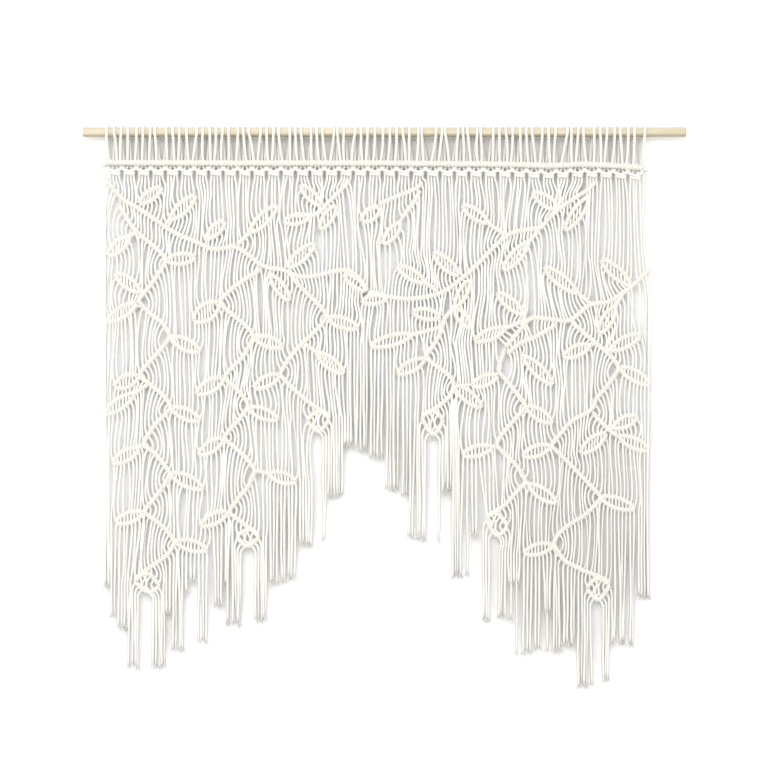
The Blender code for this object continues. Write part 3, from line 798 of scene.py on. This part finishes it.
# Outer cords of a square knot, drawn over its front: x to the right of its middle, y, z above it
LEFT_CORD = [
    (-12.6, -0.5, 16.5), (-12.0, -2.2, 12.0), (-9.0, -3.8, 9.2), (-3.0, -5.0, 7.4),
    (3.5, -4.8, 5.8), (8.0, -2.4, 4.2), (8.0, 2.0, 2.6),
]
RIGHT_CORD = [
    (12.6, -0.5, 16.5), (12.0, -2.2, 12.0), (9.4, -3.6, 9.4), (4.5, -4.4, 8.2), (0.0, -2.6, 6.8),
]
LOWER_CORD = [
    (-7.0, 2.0, 5.4), (-7.8, -1.6, 4.2), (-4.5, -4.2, 2.9), (0.0, -4.8, 2.1), (4.5, -4.2, 1.3),
    (7.6, -1.4, 0.4), (6.4, 2.0, -0.8),
]
KNOT_STEP = 1.6  # between the rings of these cords
KNOT_END = 0.6  # share of their thickness that is left at their ends
KNOT_SIDES = 6


def add_square_knot(tubes, x, z):
    """The outer cords of a knot, where they close over its two inner cords."""
    for cord in (LEFT_CORD, RIGHT_CORD, LOWER_CORD):
        path = smooth_curve(cord, KNOT_STEP) + np.array((x, 0.0, z))
        radii = rounded_ends(len(path), 0.5 * KNOT_CORD, KNOT_END)
        tubes.add(path, radii, (0.0, -1.0, 0.3), KNOT_SIDES)


# ---- heading: cords over the rod

ROD_WANDER = 1.4  # how unevenly the cords sit on the rod
ROD_ROUNDS = 40  # of pushing apart those that would overlap
ROD_CORD_ROOM = 1.02  # least spacing of two of them, in their thicknesses
FOLD_TURN = 99.0  # degrees round the rod, from its top to where a leg leaves it
FOLD_RINGS, LEG_RINGS = 9, 7
LEG_APART = 1.5  # of a leg's foot from the middle of the bar, front or back
LEG_BOW = 0.9  # how far a leg bows out of line
TWINE_RADIUS = 0.9
TWINE_FRONT = 2.2  # of the twine before the middle of the bar
TWINE_RINGS = 160
TWINE_SIDES = 6
TWINE_WAVES = [(0.4, 13.0), (0.3, 5.7)]  # height and reach of the waves in it


def rod_places():
    """Where the cords sit on the rod: drawn back from the gaps, and never on each other."""
    x = strand_start(2 * np.arange(STRAND_COUNT // 2) + 0.5)
    places = x + RANDOM.normal(0.0, ROD_WANDER, len(x))
    for gap, room in ROD_GAPS:
        places += room * np.sign(x - gap) * np.exp(-np.abs(x - gap) / ROD_GAP_REACH)
    for _ in range(ROD_ROUNDS):
        overlap = np.maximum(0.0, ROD_CORD_ROOM * SLACK_CORD - np.diff(places))
        places[1:] += 0.5 * overlap
        places[:-1] -= 0.5 * overlap
    return places


def add_folded_cord(tubes, k, x_top):
    """One cord folded over the rod; its front and back leg are neighbours in the bar."""
    x_left = strand_start(2 * k)
    radius = ROD_RADIUS + ROD_CLEARANCE + 0.5 * SLACK_CORD
    front_first = int(RANDOM.integers(2))
    turn = np.radians(np.linspace(0.0, FOLD_TURN, FOLD_RINGS))
    t = np.linspace(0.0, 1.0, LEG_RINGS + 1)[1:, None]
    for side in (-1, 1):
        x_low = x_left + STRAND_PITCH * (front_first if side < 0 else 1 - front_first)
        foot = np.array((x_low, side * LEG_APART, on_table(BAR_LINE, x_low)))
        bend = np.column_stack([np.full(FOLD_RINGS, x_top), side * radius * np.sin(turn),
                                radius * np.cos(turn)])
        leg = bend[-1] + (foot - bend[-1]) * t
        leg[:, :2] += RANDOM.normal(0.0, LEG_BOW, 2) * np.sin(math.pi * t)
        tubes.add(np.vstack([bend, leg]), 0.5 * SLACK_CORD, (1.0, 0.0, 0.0), STRAND_SIDES)


def add_twine(tubes):
    """The thin twine along the lower edge of the hitch bar, its ends sticking out."""
    x = np.linspace(BAR_LEFT - BAR_END, BAR_RIGHT + BAR_END, TWINE_RINGS)
    z = on_table(BAR_LINE, x) - BAR_RADIUS - TWINE_RADIUS
    z += sum(height * np.sin(x / reach) for height, reach in TWINE_WAVES)
    path = np.column_stack([x, np.full(len(x), -TWINE_FRONT), z])
    tubes.add(path, rounded_ends(len(x), TWINE_RADIUS), FRONT, TWINE_SIDES)


# ---- rod

ROD_SIDES = 48
ROD_RINGS = 26  # along it, from one worn edge to the other
ROD_BEVEL = 0.8 * MM  # of the worn edges at its ends
BEVEL_SHAPE = [(0.0, 1.6), (0.35, 0.5), (1.0, 0.0)]  # along the rod and into it, in bevels
END_RING = 0.3  # radius of a ring inside an end's face, as a share of the rod's
ROD_HOLLOW = 0.006  # how much thinner it is in places, as a share
ROD_WAVES = (9.0, 23.0)  # of these places, in radians a metre


def make_rod(material):
    """A dowel with slightly worn edges, a lathe round the CAD rod's own axis."""
    low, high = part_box("rod")
    length, radius = high.x - low.x, 0.5 * (high.z - low.z)
    end = [(0.0, END_RING * radius)]
    end += [(along * ROD_BEVEL, radius - into * ROD_BEVEL) for along, into in BEVEL_SHAPE]
    inner = np.linspace(ROD_BEVEL, length - ROD_BEVEL, ROD_RINGS)[1:-1]
    slow, quick = np.sin(inner * ROD_WAVES[0]), np.sin(inner * ROD_WAVES[1] + 1.0)
    hollow = ROD_HOLLOW * (1.0 + slow) * (1.0 + quick) / 4.0
    profile = end + list(zip(inner, radius * (1.0 - hollow)))
    profile += [(length - x, r) for x, r in end[::-1]]
    turn = 2.0 * math.pi * np.arange(ROD_SIDES) / ROD_SIDES
    points = [(low.x + x, r * math.cos(a), r * math.sin(a)) for x, r in profile for a in turn]
    faces = []
    for row in range(len(profile) - 1):
        for k in range(ROD_SIDES):
            a, b = row * ROD_SIDES + k, row * ROD_SIDES + (k + 1) % ROD_SIDES
            faces.append((a, b, b + ROD_SIDES, a + ROD_SIDES))
    faces.append(tuple(range(ROD_SIDES))[::-1])
    faces.append(tuple(range(len(points) - ROD_SIDES, len(points))))
    return mesh_object("dowel", points, faces, material)


# ---- materials

class Nodes:
    """Short names for the nodes of a material or world."""

    def __init__(self, owner):
        owner.use_nodes = True
        self.tree = owner.node_tree

    def named(self, name, values):
        """The node of that name, with its sockets set to values or linked to other sockets."""
        node = self.tree.nodes[name]
        for key, value in values.items():
            if isinstance(value, bpy.types.NodeSocket):
                self.tree.links.new(value, node.inputs[key])
            else:
                node.inputs[key].default_value = value
        return node

    def add(self, kind, values=None, **settings):
        """A new node, with its settings and its sockets set."""
        node = self.tree.nodes.new(kind)
        for name, value in settings.items():
            setattr(node, name, value)
        return self.named(node.name, values or {})

    def math(self, operation, *inputs):
        return self.add("ShaderNodeMath", dict(enumerate(inputs)), operation=operation).outputs[0]

    def mix(self, share, first, second):
        """Two colours mixed; they are sockets 6 and 7 of a mix node, and output 2."""
        sockets = {"Factor": share, 6: first, 7: second}
        return self.add("ShaderNodeMix", sockets, data_type="RGBA").outputs[2]

    def place(self):
        """Where a point lies on its object, in metres."""
        return self.add("ShaderNodeTexCoord").outputs["Object"]

    def axes(self, vector):
        """A vector's X, Y and Z."""
        return self.add("ShaderNodeSeparateXYZ", {0: vector}).outputs

    def noise(self, vector, scale, detail, roughness=0.5):
        sockets = {"Vector": vector, "Scale": scale, "Detail": detail, "Roughness": roughness}
        return self.add("ShaderNodeTexNoise", sockets).outputs[0]

    def fade(self, value, start, end, first=0.0, last=1.0, ease="SMOOTHSTEP"):
        """Runs from first to last while a value runs from start to end."""
        sockets = {"Value": value, "From Min": start, "From Max": end, "To Min": first,
                   "To Max": last}
        return self.add("ShaderNodeMapRange", sockets, interpolation_type=ease).outputs[0]

    def finish(self, colour, relief, strength, depth, values):
        """Gives the shader its colour, its bumps, depth metres deep, and other values."""
        bump = {"Strength": strength, "Distance": depth, "Height": relief}
        normal = self.add("ShaderNodeBump", bump).outputs[0]
        self.named("Principled BSDF", {"Base Color": colour, "Normal": normal, **values})


# Cotton colours: of the plies, and a painted shade for the grooves between them
CORD_COLOURS = (0.82, 0.805, 0.775, 1.0), (0.73, 0.71, 0.66, 1.0)
KNOT_COLOURS = (0.85, 0.83, 0.78, 1.0), (0.77, 0.745, 0.68, 1.0)
# A lighter copy of the cords' colours: painted light for the cords over the rod
OVER_ROD_PAINTED_LIGHT_COLOURS = (0.93, 0.92, 0.89, 1.0), (0.86, 0.845, 0.80, 1.0)
TWINE_COLOURS = (0.36, 0.34, 0.30, 1.0), (0.25, 0.23, 0.20, 1.0)
PLIES = 3  # of a cord
LAY = 13.0  # length along a cord of one full twist
PLY_POWER = 0.6  # how broad a ply is beside its groove: broader below 1
PLY_SHARE = 0.75  # of the ply in how light a cord is, and of slow blotches
BLOTCH_SHARE = 0.35
FUZZ_SHARE = 0.25  # of the fibres in its relief, beside the plies
SIDE_SHADE_COLOUR = (0.42, 0.40, 0.36, 1.0)  # painted shade on the sides of each cord, where it faces its neighbours
SIDE_SHADE_SHARE = 0.47
SIDE_SHADE_POWER = 1.5  # how narrow this painted side shade is: narrower above 1
TAIL_SHADE_COLOUR = (0.35, 0.33, 0.295, 1.0)  # painted side shade of the tails, deeper down each tail
TAIL_SHADE_FROM = 60.0  # length of a tail over which its painted side shade turns to that colour
PATCH_SHADE_COLOUR = (0.22, 0.19, 0.14, 1.0)  # painted side shade, deeper in a patch low at the right
PATCH_SHADE_SHARE = 0.85
PATCH_SHADE_SPOT = (0.36, 0.0, -0.74)  # its middle, in metres
PATCH_SHADE_REACH = 0.30  # metres from there to where it has faded
COTTON_SURFACE = {
    "Roughness": 0.92, "Specular IOR Level": 0.25, "Sheen Weight": 0.25, "Sheen Roughness": 0.6,
}

# Wood colours: the palest and the darkest grain
WOOD_COLOURS = (0.70, 0.645, 0.515, 1.0), (0.50, 0.43, 0.29, 1.0)
GRAIN_CONTRAST, GRAIN_SHIFT = 1.8, -0.45  # of the grain, as a share of the darkest colour
PORE_SHARE = 0.3  # of the pores in it
# Painted shade: the wood darkens towards the rod's underside, where less light falls
UNDERSIDE_SHADE_COLOUR = (0.27, 0.22, 0.13, 1.0)
UNDERSIDE_SHADE_SHARE = 0.7  # how far the painted shade darkens the wood towards its underside
UNDERSIDE_SHADE_FROM, UNDERSIDE_SHADE_TO = -0.002, -0.009  # metres above the rod's axis
PORE_DEPTH = 0.0002  # metres
WOOD_SURFACE = {"Roughness": 0.55, "Specular IOR Level": 0.35}


def cotton(name, colours, twist_depth, patch_shade=0.0, tail_shade=False):
    """Twisted cotton: plies that wind round each cord, with a soft fuzz of fibres.

    The grooves between the plies are painted shade, mixed with random blotches of tone. Each cord
    also has painted shade on the sides that face its neighbours, deepened by a share in a painted
    patch low at the right and, if asked, down a tail. twist_depth is how deep the grooves between
    the plies are, in metres.
    """
    material = bpy.data.materials.new(name)
    nodes = Nodes(material)
    axes = nodes.axes(nodes.add("ShaderNodeUVMap", uv_map="cord").outputs["UV"])
    place = nodes.place()
    round_cord = nodes.math("MULTIPLY", axes["X"], 2.0 * math.pi * PLIES)
    along_cord = nodes.math("MULTIPLY", axes["Y"], 2.0 * math.pi * PLIES / LAY)
    wave = nodes.math("SINE", nodes.math("ADD", round_cord, along_cord))
    ply = nodes.math("POWER", nodes.math("MULTIPLY_ADD", wave, 0.5, 0.5), PLY_POWER)
    blotches = nodes.noise(place, scale=14.0, detail=2.0)
    raised = nodes.math("MULTIPLY_ADD", ply, PLY_SHARE,
                        nodes.math("MULTIPLY", blotches, BLOTCH_SHARE))
    # Painted shade in the grooves between the plies, mixed with random blotches of tone
    colour = nodes.mix(raised, colours[1], colours[0])
    # Painted shade on the sides of each cord, where it faces its neighbours
    turn = nodes.math("COSINE", nodes.math("MULTIPLY", axes["X"], 4.0 * math.pi))
    side_shade = nodes.math("POWER", nodes.math("MULTIPLY_ADD", turn, -0.5, 0.5), SIDE_SHADE_POWER)
    colour = nodes.mix(nodes.math("MULTIPLY", side_shade, SIDE_SHADE_SHARE), colour, SIDE_SHADE_COLOUR)
    # The painted side shade, deeper in a patch low at the right
    if patch_shade > 0.0:
        away = nodes.add("ShaderNodeVectorMath", {0: place, 1: PATCH_SHADE_SPOT}, operation="DISTANCE")
        near = nodes.fade(away.outputs["Value"], 0.0, PATCH_SHADE_REACH, first=patch_shade, last=0.0)
        colour = nodes.mix(nodes.math("MULTIPLY", near, side_shade), colour, PATCH_SHADE_COLOUR)
    # The painted side shade, deeper down a tail
    if tail_shade:
        down = nodes.fade(axes["Y"], 0.0, TAIL_SHADE_FROM, ease="LINEAR")
        colour = nodes.mix(nodes.math("MULTIPLY", down, side_shade), colour, TAIL_SHADE_COLOUR)
    fibres = nodes.noise(place, scale=900.0, detail=3.0, roughness=0.7)
    relief = nodes.math("MULTIPLY_ADD", fibres, FUZZ_SHARE, ply)
    nodes.finish(colour, relief, strength=0.7, depth=twist_depth, values=COTTON_SURFACE)
    return material


def wood_grain(nodes, along, across, detail, roughness=0.5):
    """Noise drawn out along the rod, with its scales along and across it."""
    sockets = {"Vector": nodes.place(), "Scale": (along, across, across)}
    stretch = nodes.add("ShaderNodeMapping", sockets)
    return nodes.noise(stretch.outputs[0], scale=1.0, detail=detail, roughness=roughness)


def pale_wood():
    """Pale dowel wood: fine grain along the rod, with painted shade underneath."""
    material = bpy.data.materials.new("pale_dowel")
    nodes = Nodes(material)
    grain = wood_grain(nodes, along=3.0, across=160.0, detail=6.0, roughness=0.6)
    pores = wood_grain(nodes, along=25.0, across=1400.0, detail=3.0)
    share = nodes.math("MULTIPLY_ADD", grain, GRAIN_CONTRAST, GRAIN_SHIFT)
    share = nodes.math("MULTIPLY_ADD", pores, PORE_SHARE, share)
    share.node.use_clamp = True
    colour = nodes.mix(share, *WOOD_COLOURS)
    # Painted shade, darker towards the rod's underside
    height = nodes.axes(nodes.place())["Z"]
    underside_shade = nodes.fade(height, UNDERSIDE_SHADE_FROM, UNDERSIDE_SHADE_TO, last=UNDERSIDE_SHADE_SHARE)
    colour = nodes.mix(underside_shade, colour, UNDERSIDE_SHADE_COLOUR)
    nodes.finish(colour, pores, strength=0.3, depth=PORE_DEPTH, values=WOOD_SURFACE)
    return material


def one_sided(name, colour, shade=None):
    """A matt stage surface that shows from its front and is clear from behind.

    shade is a darker colour for the part of it behind the cords under the rod.
    """
    material = bpy.data.materials.new(name)
    nodes = Nodes(material)
    if shade is not None:
        axes = nodes.axes(nodes.place())
        masks = []
        for axis, middle, reach in zip("XY", SHADE_MIDDLE, SHADE_REACH):
            away = nodes.math("ABSOLUTE", nodes.math("SUBTRACT", axes[axis], middle))
            masks.append(nodes.fade(away, reach - SHADE_SOFTNESS, reach, first=1.0, last=0.0))
        colour = nodes.mix(nodes.math("MULTIPLY", *masks), colour, shade)
    matt = {"Base Color": colour, "Roughness": 1.0, "Specular IOR Level": 0.0}
    front = nodes.named("Principled BSDF", matt)
    clear = nodes.add("ShaderNodeBsdfTransparent")
    behind = nodes.add("ShaderNodeNewGeometry").outputs["Backfacing"]
    sockets = {0: behind, 1: front.outputs[0], 2: clear.outputs[0]}
    mix = nodes.add("ShaderNodeMixShader", sockets)
    nodes.named("Material Output", {"Surface": mix.outputs[0]})
    return material


# ---- pieces

def finish_piece(piece, slot, *nodes):
    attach(piece, "root")
    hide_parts(*nodes)


def cord_piece(name, tubes, material, node):
    finish_piece(tubes.make(name, material), "cotton_cord", node)


def make_panel(knotted):
    """The panel's strands, tails, bars and square knots, split into pieces by what they are."""
    # Both cottons have painted side shade, deeper in a patch low at the right; in the tails it
    # also deepens down each tail
    plain = cotton("cotton_cord", CORD_COLOURS, twist_depth=0.0004, patch_shade=PATCH_SHADE_SHARE)
    ends = cotton("cotton_tails", CORD_COLOURS, twist_depth=0.0005, patch_shade=PATCH_SHADE_SHARE, tail_shade=True)
    strands, bars = knot_panel()
    middle = len(strands) // 2
    hung = list(zip(strands, hang_tails(strands)))
    for side, group in (("left", hung[:middle]), ("right", hung[middle:])):
        tubes, tail_tubes = Tubes(), Tubes()
        for strand, tail in group:
            add_strand(tubes, tail_tubes, strand, tail)
        cord_piece("strands_" + side, tubes, plain, "panel")
        cord_piece("tails_" + side, tail_tubes, ends, "panel")
    pieces = {"vines": Tubes(), "leaves_left": Tubes(), "leaves_right": Tubes()}
    for curve, radius in bars:
        side = "left" if curve[:, 0].mean() < 0 else "right"
        name = "vines" if radius == VINE_RADIUS else "leaves_" + side
        add_coil(pieces[name], curve, radius, 0.5 * HITCH_PITCH)
    for name, tubes in pieces.items():
        cord_piece(name, tubes, knotted, "panel")
    knots = Tubes()
    for k in range(KNOT_COUNT):
        add_square_knot(knots, *knot_centre(k))
    cord_piece("square_knots", knots, knotted, "panel")


def make_heading(knotted):
    """The hitch bar, the cords folded over the rod, and the twine."""
    bar, cords, thin = Tubes(), Tubes(), Tubes()
    x = np.linspace(BAR_LEFT, BAR_RIGHT, BAR_POINTS)
    add_coil(bar, np.column_stack([x, on_table(BAR_LINE, x)]), BAR_RADIUS, 0.5 * STRAND_PITCH)
    cord_piece("hitch_bar", bar, knotted, "heading")
    for k, x_top in enumerate(rod_places()):
        add_folded_cord(cords, k, x_top)
    # A lighter copy of the cotton, painted light on the cords over the rod
    lit = cotton("cotton_over_rod", OVER_ROD_PAINTED_LIGHT_COLOURS, twist_depth=0.0004)
    cord_piece("cords_over_rod", cords, lit, "heading")
    add_twine(thin)
    twine = cotton("linen_twine", TWINE_COLOURS, twist_depth=0.0002)
    cord_piece("twine", thin, twine, "heading")


# ---- stage, light and camera, in metres

VIEW_WIDTH = 1.4093  # across the camera's view, at the panel
VIEW_MIDDLE = (-0.0011, -0.4588)  # x and z of the middle of that view
VIEW_DISTANCE = 4.0
SENSOR = 36.0

STAGE_SIZE = 8.0
WALL_GAP = 0.017  # from the rod's axis to the wall behind it
WALL_COLOUR = (0.94, 0.94, 0.94, 1.0)
SHADE_COLOUR = (0.70, 0.69, 0.66, 1.0)  # of the shaded part of the wall
SHADE_MIDDLE = (-0.0185, -0.033)  # x and z of its middle
SHADE_REACH = (0.498, 0.030)  # how far it reaches either way
SHADE_SOFTNESS = 0.012
FLOOR = -1.25
FLOOR_COLOUR = (0.85, 0.85, 0.84, 1.0)

SKY_LEVEL = 0.93  # of the light from all round, at the horizon
SKY_RISE = 0.50  # and how much more comes from straight above
LAMP_PLACE = (-0.7, -3.5, 1.25)
LAMP_AIM = (0.0, 0.0, -0.45)
LAMP_SIZE = (2.5, 2.0)
LAMP_POWER = 66.0  # watts


def make_stage():
    wall = plane("wall", (0.0, WALL_GAP, 0.0), one_sided("white_wall", WALL_COLOUR, SHADE_COLOUR))
    wall.rotation_euler = (math.pi / 2, 0.0, 0.0)
    floor = plane("floor", (0.0, 0.0, FLOOR), one_sided("pale_floor", FLOOR_COLOUR))


def plane(name, place, material):
    half = 0.5 * STAGE_SIZE
    corners = [(-half, -half, 0.0), (half, -half, 0.0), (half, half, 0.0), (-half, half, 0.0)]
    obj = mesh_object(name, corners, [(0, 1, 2, 3)], material)
    obj.location = place
    return obj


def make_light():
    """White light from all round, more of it from above, and one soft lamp at the upper left."""
    world = bpy.data.worlds.new("studio")
    nodes = Nodes(world)
    up = nodes.axes(nodes.add("ShaderNodeTexCoord").outputs["Generated"])["Z"]
    level = nodes.math("MULTIPLY_ADD", up, SKY_RISE, SKY_LEVEL)
    nodes.named("Background", {"Color": (1.0, 1.0, 1.0, 1.0), "Strength": level})
    bpy.context.scene.world = world
    key = bpy.data.lights.new("key", "AREA")
    key.shape = "RECTANGLE"
    key.size, key.size_y = LAMP_SIZE
    key.energy = LAMP_POWER
    lamp = add_object("key", key)
    lamp.location = LAMP_PLACE
    aim = Vector(LAMP_AIM) - lamp.location
    lamp.rotation_euler = aim.to_track_quat("-Z", "Y").to_euler()


def make_camera():
    camera = bpy.data.cameras.new("camera")
    camera.sensor_width = SENSOR
    camera.lens = SENSOR * VIEW_DISTANCE / VIEW_WIDTH
    eye = add_object("camera", camera)
    eye.location = (VIEW_MIDDLE[0], -VIEW_DISTANCE, VIEW_MIDDLE[1])
    eye.rotation_euler = (math.pi / 2, 0.0, 0.0)
    bpy.context.scene.camera = eye
    bpy.context.scene.view_settings.view_transform = "Standard"


make_camera()
make_light()
make_stage()
finish_piece(make_rod(pale_wood()), "rod_wood", "rod")
knotted_cotton = cotton("cotton_knots", KNOT_COLOURS, twist_depth=0.0003)
make_panel(knotted_cotton)
make_heading(knotted_cotton)
